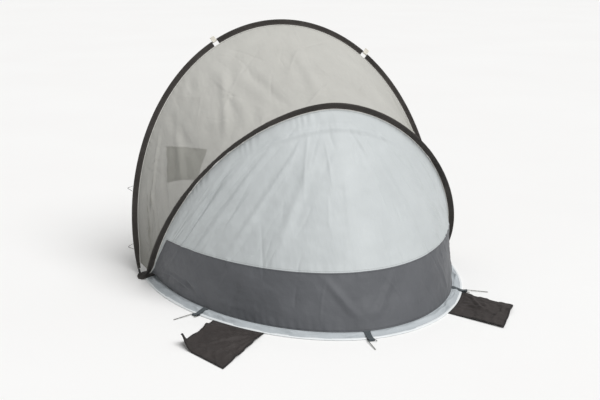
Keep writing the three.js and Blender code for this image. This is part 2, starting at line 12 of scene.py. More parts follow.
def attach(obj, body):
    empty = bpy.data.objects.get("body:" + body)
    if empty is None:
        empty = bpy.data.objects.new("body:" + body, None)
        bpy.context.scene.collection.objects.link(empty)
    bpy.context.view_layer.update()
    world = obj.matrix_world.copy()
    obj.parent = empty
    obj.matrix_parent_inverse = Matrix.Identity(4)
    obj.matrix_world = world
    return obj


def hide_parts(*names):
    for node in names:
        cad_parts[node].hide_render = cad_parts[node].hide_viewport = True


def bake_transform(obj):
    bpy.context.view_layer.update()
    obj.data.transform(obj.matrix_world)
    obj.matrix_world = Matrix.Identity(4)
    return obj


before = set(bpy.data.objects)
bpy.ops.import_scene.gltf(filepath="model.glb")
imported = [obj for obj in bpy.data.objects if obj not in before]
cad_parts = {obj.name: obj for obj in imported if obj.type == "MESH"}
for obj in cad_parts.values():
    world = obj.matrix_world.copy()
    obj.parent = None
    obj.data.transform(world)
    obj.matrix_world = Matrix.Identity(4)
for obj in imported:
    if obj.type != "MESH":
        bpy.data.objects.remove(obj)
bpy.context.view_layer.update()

# ---- Camera ----
VIEW = Sizes(azimuth=163.892, elevation=13.546, roll=0.36, distance=5.434)
VIEW_TARGET = (-0.0126, 0.0, 0.3246)
LENS_MM = 67.86


def add_object(name, data):
    made = bpy.data.objects.new(name, data)
    bpy.context.scene.collection.objects.link(made)
    return made


def make_camera():
    azimuth = math.radians(VIEW.azimuth)
    elevation = math.radians(VIEW.elevation)
    level = math.cos(elevation)
    back = Vector((math.sin(azimuth) * level, -math.cos(azimuth) * level, math.sin(elevation)))
    data = bpy.data.cameras.new("camera")
    data.lens = LENS_MM
    camera = add_object("camera", data)
    place = Matrix.Translation(Vector(VIEW_TARGET) + back * VIEW.distance)
    turn = (-back).to_track_quat("-Z", "Y").to_matrix().to_4x4()
    camera.matrix_world = place @ turn @ Matrix.Rotation(math.radians(VIEW.roll), 4, "Z")
    bpy.context.scene.camera = camera


make_camera()

# ---- Sizes, in metres ----
CLOTH = 0.0012
GAP = 0.0004
HINGE = (0.0, 0.0, 0.016)
FLOOR = Sizes(half_width=0.699, rear=1.015, front=0.32, power=1.91)
RIM = Sizes(width=0.044, seam_height=0.018, edge_height=0.0032)
CORNER = Sizes(rear_end=0.042, front_end=-0.072, flange=0.034)
SLEEVE = Sizes(  # reach outward and inward from the wire, half thickness there and at the sewn edge
    outer=0.0054, inner=0.023, foot_inner=0.009, half=0.0044, edge_half=0.0015, taper=0.05,
)
REAR_TWIST = Sizes(crown=0.24, flank=-0.42, flank_at=0.46, end_at=0.92)
SLEEVE_START = 0.0075
CLOTH_START = 0.016
WALL_FOOT_START = 0.012
BAND_SLANT = 0.243
ROOF_HOLLOW = 0.014
TAB_PLACES = (0.391, 0.65)
TAB_GAP = 0.0045
LOOP_PLACES = (0.042, 0.128)
STRAP = Sizes(width=0.026, eye_radius=0.0043, reach=0.066)
STRAP_ANGLE = 0.62
POCKET_CLEARANCE = 0.0016
POUCH = Sizes(top=((0.215, 0.72), (0.28, 0.22)), bottom=((0.178, 0.44), (0.236, 0.06)), drop=0.007)
SIDES = {"left": 1, "right": -1}


# ---- Number helpers ----
def mix(a, b, t):
    return a + (b - a) * t


def smooth(x, low=0.0, high=1.0):
    t = np.clip((np.asarray(x, float) - low) / (high - low), 0, 1)
    return t * t * (3 - 2 * t)


def edge_fade(t, reach):
    """1 inside a 0 to 1 range and 0 at its ends."""
    return smooth(np.minimum(t, 1 - t), 0, reach)


def unit(vectors):
    return vectors / np.maximum(np.linalg.norm(vectors, axis=-1, keepdims=True), 1e-12)


def signed_power(x, power):
    return np.sign(x) * np.abs(x) ** power


def lifted(flat, height):
    """Places on the ground with a height added."""
    return np.concatenate([flat, height[..., None]], -1)


def path_lengths(points, axis):
    """Distance along a grid's columns (axis 0) or rows (axis 1)."""
    steps = np.linalg.norm(np.diff(points, axis=axis), axis=-1)
    start = np.zeros_like(np.take(steps, [0], axis=axis))
    return np.concatenate([start, np.cumsum(steps, axis=axis)], axis=axis)


RIPPLE_WAVES = 24


def ripples(x, y, wavelength, seed, stretch=1.0):
    """A smooth random field of about unit height; stretch lengthens it along x."""
    random = np.random.default_rng(seed)
    total = np.zeros(np.broadcast(x, y).shape)
    for _ in range(RIPPLE_WAVES):
        heading = random.uniform(0, math.tau)
        size = wavelength * random.uniform(0.7, 1.5)
        phase = random.uniform(0, math.tau)
        along = math.cos(heading) / (size * stretch)
        across = math.sin(heading) / size
        total += np.sin(math.tau * (along * x + across * y) + phase)
    return total / math.sqrt(RIPPLE_WAVES / 2)


def line_place(x, y, start, end):
    """Share along a line, held to 0 to 1, distance across it, and the line's length."""
    line = np.subtract(end, start)
    length = np.linalg.norm(line)
    right, up = line / length
    from_x, from_y = x - start[0], y - start[1]
    along = np.clip((from_x * right + from_y * up) / length, 0, 1)
    return along, from_y * right - from_x * up, length


def fold(x, y, start, end, width, height):
    """A tension fold: a ridge between shallow valleys, which tapers away at both ends."""
    along, across, _ = line_place(x, y, start, end)
    across = across / width
    taper = smooth(along, 0, 0.35) * smooth(1 - along, 0, 0.35)
    return height * taper * (1 - across**2) * np.exp(-(across**2) / 1.3)


def folds(x, y, table, span, corner=(0, 0)):
    """A table of folds, whose ends are shares of the span from the corner."""
    total = 0.0
    for *ends, width, height in table:
        total = total + fold(x, y, *(np.reshape(ends, (2, 2)) * span + corner), width, height)
    return total


CREASE_WIDTH = (0.004, 0.009)
CREASE_BOW = 0.05  # how far a crease bends sideways, as a share of its length


def creases(x, y, lines, seed, height):
    """Narrow crumple lines; every other one is pressed inward."""
    random = np.random.default_rng(seed)
    relief = np.zeros(np.broadcast(x, y).shape)
    for number, (start, end) in enumerate(lines):
        along, across, length = line_place(x, y, start, end)
        arch = np.sin(math.pi * along)
        bow = CREASE_BOW * length * random.uniform(-1, 1) * arch
        across = (across - bow) / random.uniform(*CREASE_WIDTH)
        raised = random.uniform(*height) * (1 if number % 2 else -1)
        relief += raised * arch**0.7 * np.exp(-1.4 * (np.sqrt(across**2 + 0.04) - 0.2))
    return relief


# ---- Curves ----
class MeasuredLine:
    """A line of points, asked for by shares of its length."""

    def measure(self, points):
        self.points = points
        self.lengths = path_lengths(points, 0)
        self.length = self.lengths[-1]

    def read(self, values, share):
        wanted = np.asarray(share, float) * self.length
        return np.stack([np.interp(wanted, self.lengths, column) for column in values.T], -1)

    def at(self, share):
        return self.read(self.points, share)


class Hoop(MeasuredLine):
    """A sprung hoop from its +X foot over the crown to its -X foot. A bow below 1 makes it belly
    outward between foot and crown."""

    def __init__(self, foot_x, foot_y, half_width, height, power, lean, bow, samples=4000):
        foot_share = (1 - (foot_x / half_width) ** power) ** (1 / power)
        below = math.asin(foot_share ** (power / 2))
        angle = np.linspace(-below, math.pi + below, samples)
        half_height = height / (1 + foot_share)
        x = half_width * signed_power(np.cos(angle), 2 / power)
        rise = np.maximum(half_height * (foot_share + signed_power(np.sin(angle), 2 / power)), 0)
        y = mix(foot_y, lean, (rise / height) ** bow)
        z = mix(HINGE[2], height, rise / height)
        self.measure(np.stack([x, y, z], 1))
        tilt = math.atan2(lean - foot_y, height)
        self.plane = np.array([0, math.cos(tilt), -math.sin(tilt)])

    def frame(self, share):
        """Place, tangent, outward and sideways directions."""
        share = np.asarray(share, float)
        step = 0.002
        tangent = unit(self.at(np.minimum(share + step, 1)) - self.at(np.maximum(share - step, 0)))
        outward = unit(np.cross(self.plane, tangent))
        return self.at(share), tangent, outward, unit(np.cross(tangent, outward))


class FloorLine(MeasuredLine):
    """The floor's seam line from its +X corner to its -X one, round the rear (1) or the front (-1)."""

    def __init__(self, side, offset=0.0, samples=3000):
        self.angles = np.linspace(0, math.pi, samples)
        half_width, power = FLOOR.half_width, FLOOR.power
        depth = FLOOR.rear if side > 0 else FLOOR.front
        x = half_width * signed_power(np.cos(self.angles), 2 / power)
        y = depth * np.sin(self.angles) ** (2 / power)
        nx = signed_power(x / half_width, power - 1) / half_width
        ny = (y / depth) ** (power - 1) / depth
        normal = unit(np.stack([nx, ny], 1))
        self.normals = normal * (1, side)
        self.measure((np.stack([x, y], 1) + normal * offset) * (1, side))

    def outward(self, share):
        return unit(self.read(self.normals, share))

    def share_at_angle(self, angle):
        return float(np.interp(angle, self.angles, self.lengths) / self.length)

    def share_at_y(self, y):
        half = len(self.points) // 2
        return float(np.interp(abs(y), np.abs(self.points[:half, 1]), self.lengths[:half]) / self.length)


REAR_HOOP = Hoop(
    foot_x=0.736, foot_y=0.0, half_width=0.7385, height=0.869, power=1.81, lean=0.529, bow=0.635
)
FRONT_HOOP = Hoop(
    foot_x=0.762, foot_y=-0.03, half_width=0.773, height=1.154, power=2.0, lean=-0.337, bow=0.6
)
REAR_LINE = FloorLine(1)
FRONT_LINE = FloorLine(-1)


def sleeve_reach(share):
    """How far a sleeve's fin reaches inward from the wire."""
    from_foot = np.minimum(share, 1 - share)
    return mix(SLEEVE.foot_inner, SLEEVE.inner, smooth(from_foot, 0, SLEEVE.taper))


def fin_twist(hoop, share):
    """The rear fin turns towards the wall at the crown and towards the roof on both flanks."""
    if hoop is not REAR_HOOP:
        return np.zeros_like(share)
    from_crown = np.abs(share - 0.5) * 2
    crown, flank, flank_at = REAR_TWIST.crown, REAR_TWIST.flank, REAR_TWIST.flank_at
    upper = mix(crown, flank, smooth(from_crown, 0, flank_at))
    lower = mix(flank, 0, smooth(from_crown, flank_at, REAR_TWIST.end_at))
    return np.where(from_crown < flank_at, upper, lower)


def fin_frame(hoop, share):
    """Place on the wire, the fin's direction inward, and the direction across it on its +Y side."""
    share = np.asarray(share, float)
    place, _, outward, side = hoop.frame(share)
    rearward = side * np.sign(side[..., 1:2])
    twist = fin_twist(hoop, share)[..., None]
    inward = -outward * np.cos(twist) + rearward * np.sin(twist)
    across = rearward * np.cos(twist) + outward * np.sin(twist)
    return place, inward, across


def sleeve_edge(hoop, share, toward, beyond=GAP + CLOTH, rise=GAP * 2 + CLOTH / 2):
    """The line along a sleeve's inner edge where cloth is sewn on; toward is 1 on its +Y face."""
    place, inward, across = fin_frame(hoop, share)
    reach = (sleeve_reach(np.asarray(share)) + beyond)[..., None]
    return place + inward * reach + across * rise * toward


# ---- Mesh helpers ----
def grid_normals(points):
    down = np.gradient(points, axis=0)
    across = np.gradient(points, axis=1)
    return unit(np.cross(down, across))


def store(mesh, name, values):
    """A value at every vertex, which materials read by its name."""
    attribute = mesh.attributes.new(name, "FLOAT", "POINT")
    attribute.data.foreach_set("value", np.ascontiguousarray(values, np.float32).ravel())


def quad_corners(r, c, after, columns):
    """Numbers of each quad's four corners, in a grid of this many columns."""
    upper, lower = r * columns, (r + 1) * columns
    return np.stack([upper + c, lower + c, lower + after, upper + after], 1)


def grid_object(name, points, material, coordinates=None, closed=False, edge=None):
    """A mesh from a grid of points. Its UV map holds places on the cloth in metres, and it stores
    the distance to the sewn edge (first or last row) and to the side (first or last column)."""
    rows, columns = points.shape[:2]
    if coordinates is None:
        across = path_lengths(points, 1)
        across -= across[:, columns // 2, None]
        coordinates = np.stack([across, path_lengths(points, 0)], -1)
    along, down = coordinates[:, :columns, 0], coordinates[:, :columns, 1]
    if edge is None:
        edge = np.minimum(down - down[:1], down[-1:] - down)
    quads = columns if closed else columns - 1
    r, c = np.meshgrid(np.arange(rows - 1), np.arange(quads), indexing="ij")
    r, c = r.ravel(), c.ravel()
    faces = quad_corners(r, c, (c + 1) % columns, columns)
    mesh = bpy.data.meshes.new(name)
    mesh.from_pydata(points.reshape(-1, 3).tolist(), [], faces.tolist())
    corners = quad_corners(r, c, c + 1, coordinates.shape[1])
    layer = mesh.uv_layers.new(name="cloth")
    layer.data.foreach_set("uv", coordinates.reshape(-1, 2)[corners.ravel()].astype(np.float32).ravel())
    store(mesh, "along", along)
    store(mesh, "edge", edge)
    store(mesh, "side", np.minimum(np.abs(along - along[:, :1]), np.abs(along[:, -1:] - along)))
    mesh.shade_smooth()
    mesh.materials.append(MATERIALS[material])
    return add_object(name, mesh)


def pushed(points, height):
    """The same cloth, raised along its own normals."""
    return points + grid_normals(points) * height[..., None]


def grid_area(points):
    diagonal = points[1:, 1:] - points[:-1, :-1]
    first = np.cross(points[1:, :-1] - points[:-1, :-1], diagonal)
    second = np.cross(diagonal, points[:-1, 1:] - points[:-1, :-1])
    return float((np.linalg.norm(first, axis=-1) + np.linalg.norm(second, axis=-1)).sum() / 2)


def solidify(piece, thickness, offset=0.0):
    modifier = piece.modifiers.new("thickness", "SOLIDIFY")
    modifier.thickness = thickness
    modifier.offset = offset


def tube(name, centres, radius, material, sides=8):
    """A round cord along a line of points."""
    tangent = unit(np.gradient(centres, axis=0))
    level = unit(np.cross(tangent, np.array([0.0, 0.0, 1.0]) + 0 * tangent))
    upward = np.cross(level, tangent)
    angle = np.linspace(0, math.tau, sides, endpoint=False)
    ring = level[:, None] * np.cos(angle)[:, None] + upward[:, None] * np.sin(angle)[:, None]
    points = centres[:, None] + ring * radius
    along = np.broadcast_to(path_lengths(centres, 0)[:, None], (len(centres), sides + 1))
    around = np.broadcast_to(np.linspace(0, math.tau * radius, sides + 1), (len(centres), sides + 1))
    return grid_object(name, points, material, np.stack([along, around], -1), closed=True)


# ---- Material helpers ----
class Nodes:
    """A material's node tree."""

    def __init__(self, name):
        self.material = bpy.data.materials.new(name)
        self.material.use_nodes = True
        self.tree = self.material.node_tree
        self.tree.nodes.clear()

    def add(self, kind, inputs=None, output=0, **settings):
        """A new node; gives back the output that is wanted."""
        node = self.tree.nodes.new("ShaderNode" + kind)
        for name, value in settings.items():
            setattr(node, name, value)
        for name, value in (inputs or {}).items():
            if isinstance(value, bpy.types.NodeSocket):
                self.tree.links.new(value, node.inputs[name])
            else:
                node.inputs[name].default_value = value
        return node.outputs[output] if node.outputs else None

    def math(self, operation, *values):
        return self.add("Math", dict(enumerate(values)), operation=operation)

    def cloth_place(self, scale=(1, 1)):
        """Place on the cloth in metres, stretched by scale."""
        place = self.add("UVMap", uv_map="cloth")
        return self.add("Mapping", {"Vector": place, "Scale": (*scale, 1)})

    def solid_place(self):
        return self.add("TexCoord", output="Object")

    def attribute(self, name):
        return self.add("Attribute", output="Fac", attribute_name=name)

    def noise(self, place, per_metre, detail=3.0):
        inputs = {"Vector": place, "Scale": per_metre, "Detail": detail}
        return self.add("TexNoise", inputs, "Fac")

    def crumple(self, place, per_metre, sway=0.04):
        """Height of creased cloth: soft facets that meet in crisp lines."""
        inputs = {"Vector": place, "Scale": per_metre / 3, "Detail": 1.0}
        waver = self.add("TexNoise", inputs, "Color")
        inputs = {0: waver, 1: (sway, sway, 0), 2: place}
        moved = self.add("VectorMath", inputs, operation="MULTIPLY_ADD")
        inputs = {"Vector": moved, "Scale": per_metre, "Detail": 2.0, "Roughness": 0.5}
        return self.add("TexVoronoi", inputs, "Distance", voronoi_dimensions="2D")

    def between(self, factor, low, high, start=0.0, end=1.0):
        """Maps factor from low..high to start..end."""
        inputs = {"Value": factor, "From Min": low, "From Max": high, "To Min": start, "To Max": end}
        return self.add("MapRange", inputs, "Result")

    def blend(self, factor, *colours):
        """Two colours, each a socket or a hex code. A mix node numbers its colour inputs 6 and 7."""
        first, second = (rgb(colour) if isinstance(colour, str) else colour for colour in colours)
        inputs = {0: factor, 6: first, 7: second}
        return self.add("Mix", inputs, 2, data_type="RGBA")

    def bump(self, height, distance, strength=1.0, under=None):
        inputs = {"Height": height, "Distance": distance, "Strength": strength}
        if under is not None:
            inputs["Normal"] = under
        return self.add("Bump", inputs, "Normal")

    def stitches(self, along, across, at, pitch=0.0042, width=0.0007):
        """A dashed line of thread where across equals at."""
        line = self.math("COMPARE", across, at, width)
        dash = self.math("LESS_THAN", self.math("FRACT", self.math("DIVIDE", along, pitch)), 0.68)
        return self.math("MULTIPLY", line, dash)

    def surface(self, colour, roughness, **others):
        inputs = {"Base Color": colour, "Roughness": roughness, **others}
        return self.add("BsdfPrincipled", inputs)

    def mixed(self, share, first, second):
        return self.add("MixShader", {0: share, 1: first, 2: second})

    def finish(self, shader):
        self.add("OutputMaterial", {"Surface": shader})
        return self.material


def rgb(code):
    """A colour socket's value from an sRGB hex code."""
    channels = [int(code[i : i + 2], 16) / 255 for i in (0, 2, 4)]
    linear = [c / 12.92 if c <= 0.04045 else ((c + 0.055) / 1.055) ** 2.4 for c in channels]
    return (*linear, 1.0)


THREADS = (900, 14)  # streaks per metre across and along the threads
STITCH_LINE = 0.006  # metres from the sewn edge


def cloth_material(
    name, dark, light, roughness, crinkle=0.0012, crinkle_size=14, drawn=(1, 1), thread=None, hem=None,
    through=0.0, clear=None, shade=None, **surface
):
    """Woven cloth: mottled colour, streaks along its threads, creases from folding, and stitched edges.

    drawn squeezes the creases along and down the cloth; hem is (width, colour, share) of a doubled
    edge; through is the share of light that passes; clear is the share that can be seen through at the
    cloth's sides and past a reach in from them; shade is (colour, reach) of painted shade that darkens the
    sides."""
    n = Nodes(name)
    mottle = n.noise(n.cloth_place(), 5.0, detail=4.0)
    warp, weft = (n.noise(n.cloth_place(scale), 1.0, detail=1.0) for scale in (THREADS, THREADS[::-1]))
    weave = n.math("ADD", warp, weft)
    colour = n.blend(n.between(mottle, 0.3, 0.7), dark, light)
    streaked = n.between(weave, 0.7, 1.3, 0.0, 0.5)
    colour = n.blend(streaked, colour, light)
    # Painted shade: the colour darkens towards the cloth's sides, where less light falls.
    if shade:
        painted_shade_colour, reach = shade
        colour = n.blend(n.between(n.attribute("side"), 0.1, reach, 0.75, 0.0), colour, painted_shade_colour)
    crease = n.crumple(n.cloth_place(drawn), crinkle_size)
    normal = n.bump(crease, crinkle, 0.6)
    normal = n.bump(weave, 0.00012, 0.5, under=normal)
    if hem:
        width, hem_colour, share = hem
        edge = n.math("MINIMUM", n.attribute("edge"), n.attribute("side"))
        doubled = n.between(edge, width * 0.9, width * 1.1, share, 0.0)
        colour = n.blend(doubled, colour, hem_colour)
        normal = n.bump(doubled, 0.0008, 0.8, under=normal)
    if thread:
        stitch = n.stitches(n.attribute("along"), n.attribute("edge"), STITCH_LINE)
        colour = n.blend(stitch, colour, thread)
        normal = n.bump(stitch, 0.0005, 1.0, under=normal)
    rough = n.between(mottle, 0.3, 0.7, roughness + 0.06, roughness - 0.06)
    shader = n.surface(colour, rough, Normal=normal, **surface)
    if through:
        behind = n.add("BsdfTranslucent", {"Color": colour, "Normal": normal})
        shader = n.mixed(through, shader, behind)
    if clear:
        at_foot, at_crown, reach = clear
        thin = n.between(n.attribute("side"), 0.0, reach, at_foot, at_crown)
        gaps = n.add("BsdfTransparent")
        shader = n.mixed(thin, shader, gaps)
    return n.finish(shader)


def webbing_material(name, dark, light):
    """Woven tape: herringbone ribs, darker bound edges and a line of thread inside each."""
    n = Nodes(name)
    place = n.cloth_place()
    along, side = n.attribute("along"), n.attribute("edge")
    slant = n.math("PINGPONG", side, 0.0035)
    rib = n.math("SINE", n.math("MULTIPLY", n.math("ADD", along, slant), math.tau / 0.0022))
    fuzz = n.noise(place, 900.0, detail=2.0)
    colour = n.blend(n.between(rib, -1.0, 1.0, 0.15, 0.6), dark, light)
    colour = n.blend(n.between(fuzz, 0.3, 0.8, 0.0, 0.35), colour, light)
    bound = n.between(side, 0.0012, 0.0028, 0.75, 0.0)
    colour = n.blend(bound, colour, dark)
    stitch = n.stitches(along, side, 0.004, pitch=0.0034)
    colour = n.blend(n.math("MULTIPLY", stitch, 0.5), colour, light)
    normal = n.bump(rib, 0.00035, 0.8)
    normal = n.bump(fuzz, 0.0003, 0.4, under=normal)
    rough = n.between(fuzz, 0.3, 0.7, 0.95, 0.8)
    return n.finish(n.surface(colour, rough, Normal=normal, **{"Sheen Weight": 0.15}))


def steel_material(name, dark, light, roughness):
    """Drawn steel wire: zinc bloom in patches, fine die lines and darker handling marks."""
    n = Nodes(name)
    place = n.solid_place()
    bloom = n.noise(place, 160.0, detail=4.0)
    marks = n.noise(place, 35.0, detail=2.0)
    colour = n.blend(n.between(bloom, 0.35, 0.65), dark, light)
    colour = n.blend(n.between(marks, 0.6, 0.75, 0.0, 0.45), colour, "5d574f")
    rough = n.between(bloom, 0.3, 0.7, roughness - 0.08, roughness + 0.12)
    normal = n.bump(n.noise(place, 1400.0, detail=1.0), 0.00006, 0.5)
    return n.finish(n.surface(colour, rough, Normal=normal, Metallic=1.0))


def plastic_material(name, dark, light):
    """Moulded plastic: fine spark texture and scuffed high spots."""
    n = Nodes(name)
    place = n.solid_place()
    grain = n.noise(place, 1800.0, detail=1.0)
    scuff = n.noise(place, 90.0, detail=5.0)
    colour = n.blend(n.between(scuff, 0.55, 0.8, 0.0, 0.7), dark, light)
    rough = n.between(scuff, 0.3, 0.7, 0.42, 0.6)
    return n.finish(n.surface(colour, rough, Normal=n.bump(grain, 0.00008, 0.6)))


MATERIALS = {
    # The roof's sides are darkened towards 66655d with painted shade.
    "roof": cloth_material(
        "roof_cloth", "b3b2ab", "bebdb6", 0.66, crinkle_size=8, drawn=(1.5, 0.5),
        thread="8f8e88", through=0.08, clear=(0.1, 0.14, 1.0), shade=("66655d", 0.95)
    ),
    "silver": cloth_material(
        "silver_cloth", "c0c5c6", "cacfd0", 0.55, crinkle=0.0026, crinkle_size=9, drawn=(1.4, 0.7),
        thread="a0a5a6", through=0.08
    ),
    "band": cloth_material(
        "band_cloth", "505256", "5c5e62", 0.66, crinkle=0.005, crinkle_size=9, thread="3a3b3e",
        **{"Sheen Weight": 0.1}
    ),
    "rim": cloth_material(
        "rim_cloth", "aab1b5", "bfc5c9", 0.6, crinkle=0.002, crinkle_size=30, thread="8f9598", through=0.05
    ),
    "floor": cloth_material(
        "floor_cloth", "5f6669", "757c7f", 0.55, crinkle=0.004, crinkle_size=7, hem=(0.02, "565c5f", 0.6)
    ),
    "sleeve": cloth_material(
        "sleeve_cloth", "2a2725", "3d3936", 0.85, crinkle=0.0014, crinkle_size=50, thread="5a544f"
    ),
    "pocket": cloth_material(
        "pocket_cloth", "2a2523", "3a3432", 0.72, crinkle=0.004, crinkle_size=16, hem=(0.009, "171312", 0.75)
    ),
    "pouch": cloth_material(
        "pouch_mesh", "d6d8d4", "e6e7e4", 0.8, crinkle=0.002, hem=(0.012, "8d8e8c", 0.8), through=0.5
    ),
    "piping": cloth_material("piping_cloth", "c9c8c2", "e2e1dc", 0.6, crinkle=0.0003, crinkle_size=200),
    "binding": cloth_material("binding_cloth", "dadfe1", "eef1f2", 0.45, crinkle=0.0006, crinkle_size=80),
    "tab": cloth_material("tab_tape", "cfcabd", "e6e2d8", 0.8, crinkle=0.0003, crinkle_size=200),
    "tape": cloth_material("seam_tape", "5d6264", "777c7e", 0.4, crinkle=0.0008, crinkle_size=60),
    "webbing": webbing_material("webbing", "30363a", "566065"),
    "loop": webbing_material("loop_tape", "161413", "302c2a"),
    "peg_steel": steel_material("peg_steel", "8f918e", "c9c9c3", 0.34),
    "spring_steel": steel_material("spring_steel", "55554f", "7f7e78", 0.42),
    "plastic": plastic_material("foot_plastic", "1c1d1e", "4a4b4c"),
}


# ---- Placing helpers ----
def place_on(piece, body, node):
    """The piece stands for a CAD node, which is hidden, and rides on the body."""
    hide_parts(node)
    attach(piece, body)


def place_between(piece, slot, node, low_body, high_body, slope, reach):
    """The piece stands for a CAD node, which is hidden; its place is baked into its mesh. slope is not used.
    """
    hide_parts(node)
    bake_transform(piece)


def ring_size(points):
    """Length along a ring's first row, and the mean width across it."""
    return float(path_lengths(points, 1)[0, -1]), float(path_lengths(points, 0)[-1].mean())


def aimed(start, heading, length):
    """Both ends of a line that heads this far off straight down the cloth."""
    return start, start + length * np.array([math.sin(heading), math.cos(heading)])


WALL_TURN = ("floor", "rear_arch", 34, 0.13)
ROOF_TURN = ("rear_arch", "front_arch", 86, 0.135)


def share_grid(rows, columns, start=0.0, end=1.0):
    """Shares across (u) and down (v) for every point of a grid."""
    return np.meshgrid(np.linspace(start, end, columns), np.linspace(0, 1, rows))


def cloth_share(u, start=CLOTH_START):
    return mix(start, 1 - start, u)


def puckers(along, distance, seed, height=0.0014, pitch=0.034, reach=0.035):
    """Short gathers beside a sewn edge, which die out away from it."""
    wander = ripples(along, distance * 0, 0.22, seed)
    wave = np.sin(math.tau * along / pitch + 2.2 * wander) * (0.6 + 0.4 * wander)
    return height * wave * np.exp(-distance / reach) * (1 - np.exp(-distance / 0.005))


# ---- Roof ----
ROOF_SPAN = (2.5, 1.0)  # rough size of the cloth, along the hoops and between them
ROOF_FOLDS = [  # across and down at the start and the end, as shares, then width and height in metres
    (0.03, 0.1, 0.16, 0.9, 0.022, 0.009),
    (0.05, 0.3, 0.24, 0.95, 0.026, 0.0075),
    (0.09, 0.05, 0.15, 0.8, 0.018, 0.0075),
    (0.14, 0.02, 0.2, 0.7, 0.024, -0.009),
    (0.2, 0.05, 0.27, 0.9, 0.028, 0.0075),
    (0.26, 0.1, 0.25, 0.95, 0.03, -0.0075),
    (0.31, 0.03, 0.38, 0.8, 0.026, 0.0075),
    (0.37, 0.1, 0.36, 0.97, 0.03, 0.006),
    (0.44, 0.02, 0.4, 0.75, 0.028, -0.0075),
    (0.5, 0.05, 0.5, 0.9, 0.034, 0.0075),
    (0.57, 0.03, 0.62, 0.85, 0.03, -0.0075),
    (0.66, 0.1, 0.63, 0.95, 0.028, 0.006),
    (0.73, 0.02, 0.7, 0.9, 0.026, 0.0075),
    (0.8, 0.1, 0.85, 0.8, 0.024, -0.0075),
    (0.87, 0.05, 0.8, 0.9, 0.022, 0.0075),
    (0.95, 0.2, 0.84, 0.9, 0.024, 0.009),
]
ROOF_CREASES = 110


def roof_crease_lines():
    """Short crumple lines that mostly run from hoop to hoop."""
    random = np.random.default_rng(7)
    for _ in range(ROOF_CREASES):
        start = np.multiply((random.uniform(0.02, 0.98), random.uniform(0.0, 0.8)), ROOF_SPAN)
        yield aimed(start, random.normal(0, 0.38), random.uniform(0.08, 0.4))


def roof_surface(u, v):
    share = cloth_share(u)
    rear = sleeve_edge(REAR_HOOP, share, -1)
    front = sleeve_edge(FRONT_HOOP, share, 1)
    hollow = ROOF_HOLLOW * np.sin(math.pi * v) * np.sin(math.pi * u)
    return mix(rear, front, v[..., None]) - REAR_HOOP.frame(share)[2] * hollow[..., None]


def roof_relief(u, v, smooth_points):
    x, y = u * ROOF_SPAN[0], v * ROOF_SPAN[1]
    relief = 0.001 * ripples(x, y, 0.2, seed=3, stretch=0.4)
    relief += 0.0002 * ripples(x, y, 0.05, seed=4, stretch=0.4)
    relief += folds(x, y, ROOF_FOLDS, ROOF_SPAN)
    relief += creases(x, y, roof_crease_lines(), seed=8, height=(0.0012, 0.0036))
    relief *= edge_fade(v, 0.12) * edge_fade(u, 0.03)
    down = path_lengths(smooth_points, 0)
    relief += puckers(x, down, seed=5) + puckers(x, down[-1] - down, seed=6)
    return relief * edge_fade(u, 0.02)


def make_roof():
    u, v = share_grid(130, 620)
    points = roof_surface(u, v)
    cloth = grid_object("roof_cloth", pushed(points, -roof_relief(u, v, points)), "roof")
    place_between(cloth, "roof_cloth", "roof_canopy", *ROOF_TURN)
    widest = float(path_lengths(points, 0)[-1].max())


# ---- Rear wall ----
WALL_SPAN = (2.3, 0.95)
WALL_FOLDS = [
    (0.42, 0.04, 0.16, 0.6, 0.026, 0.006),
    (0.38, 0.05, 0.1, 0.5, 0.03, 0.007),
    (0.46, 0.08, 0.26, 0.66, 0.022, 0.006),
    (0.34, 0.03, 0.14, 0.42, 0.02, -0.005),
    (0.48, 0.1, 0.36, 0.7, 0.024, 0.005),
    (0.3, 0.08, 0.7, 0.1, 0.016, 0.004),
    (0.5, 0.14, 0.46, 0.34, 0.013, -0.002),
    (0.54, 0.08, 0.66, 0.66, 0.028, 0.006),
    (0.6, 0.05, 0.78, 0.6, 0.024, 0.006),
    (0.66, 0.05, 0.86, 0.5, 0.026, 0.005),
    (0.74, 0.05, 0.9, 0.42, 0.022, 0.005),
    (0.05, 0.5, 0.2, 0.95, 0.02, 0.005),
    (0.16, 0.7, 0.22, 0.98, 0.018, 0.004),
    (0.3, 0.72, 0.27, 0.98, 0.02, -0.004),
    (0.44, 0.74, 0.5, 0.99, 0.018, 0.005),
    (0.57, 0.74, 0.51, 0.99, 0.018, 0.005),
    (0.7, 0.72, 0.74, 0.98, 0.02, 0.004),
    (0.9, 0.55, 0.82, 0.97, 0.02, 0.005),
]
RIDGE = Sizes(height=0.012, reach=0.22)  # the centre seam stands proud of the two halves
WALL_CREASES = 120


def wall_crease_lines():
    """Crumple lines that fan out from the crown of the rear hoop."""
    random = np.random.default_rng(16)
    for _ in range(WALL_CREASES):
        heading = random.uniform(-1.25, 1.25)
        start, length = random.uniform(0.1, 0.95), random.uniform(0.06, 0.34)
        _, first = aimed(np.array([0, -0.12]), heading, start)
        yield aimed(first, heading + random.normal(0, 0.22), length)


def wall_foot(u):
    flat = REAR_LINE.at(cloth_share(u, WALL_FOOT_START))
    return lifted(flat, np.full(flat.shape[:-1], RIM.seam_height + CLOTH))


def wall_surface(u, v):
    top = sleeve_edge(REAR_HOOP, cloth_share(u), 1)
    return mix(top, wall_foot(u), v[..., None])


def band_top(u):
    """Where the two wall panels are sewn together, as a share of the way down."""
    u = np.asarray(u)
    ends = [wall_surface(u, np.full(u.shape, share)) for share in (0.0, 1.0)]
    slant = np.linalg.norm(ends[1] - ends[0], axis=-1)
    return 1 - np.minimum(BAND_SLANT / slant, 0.9)


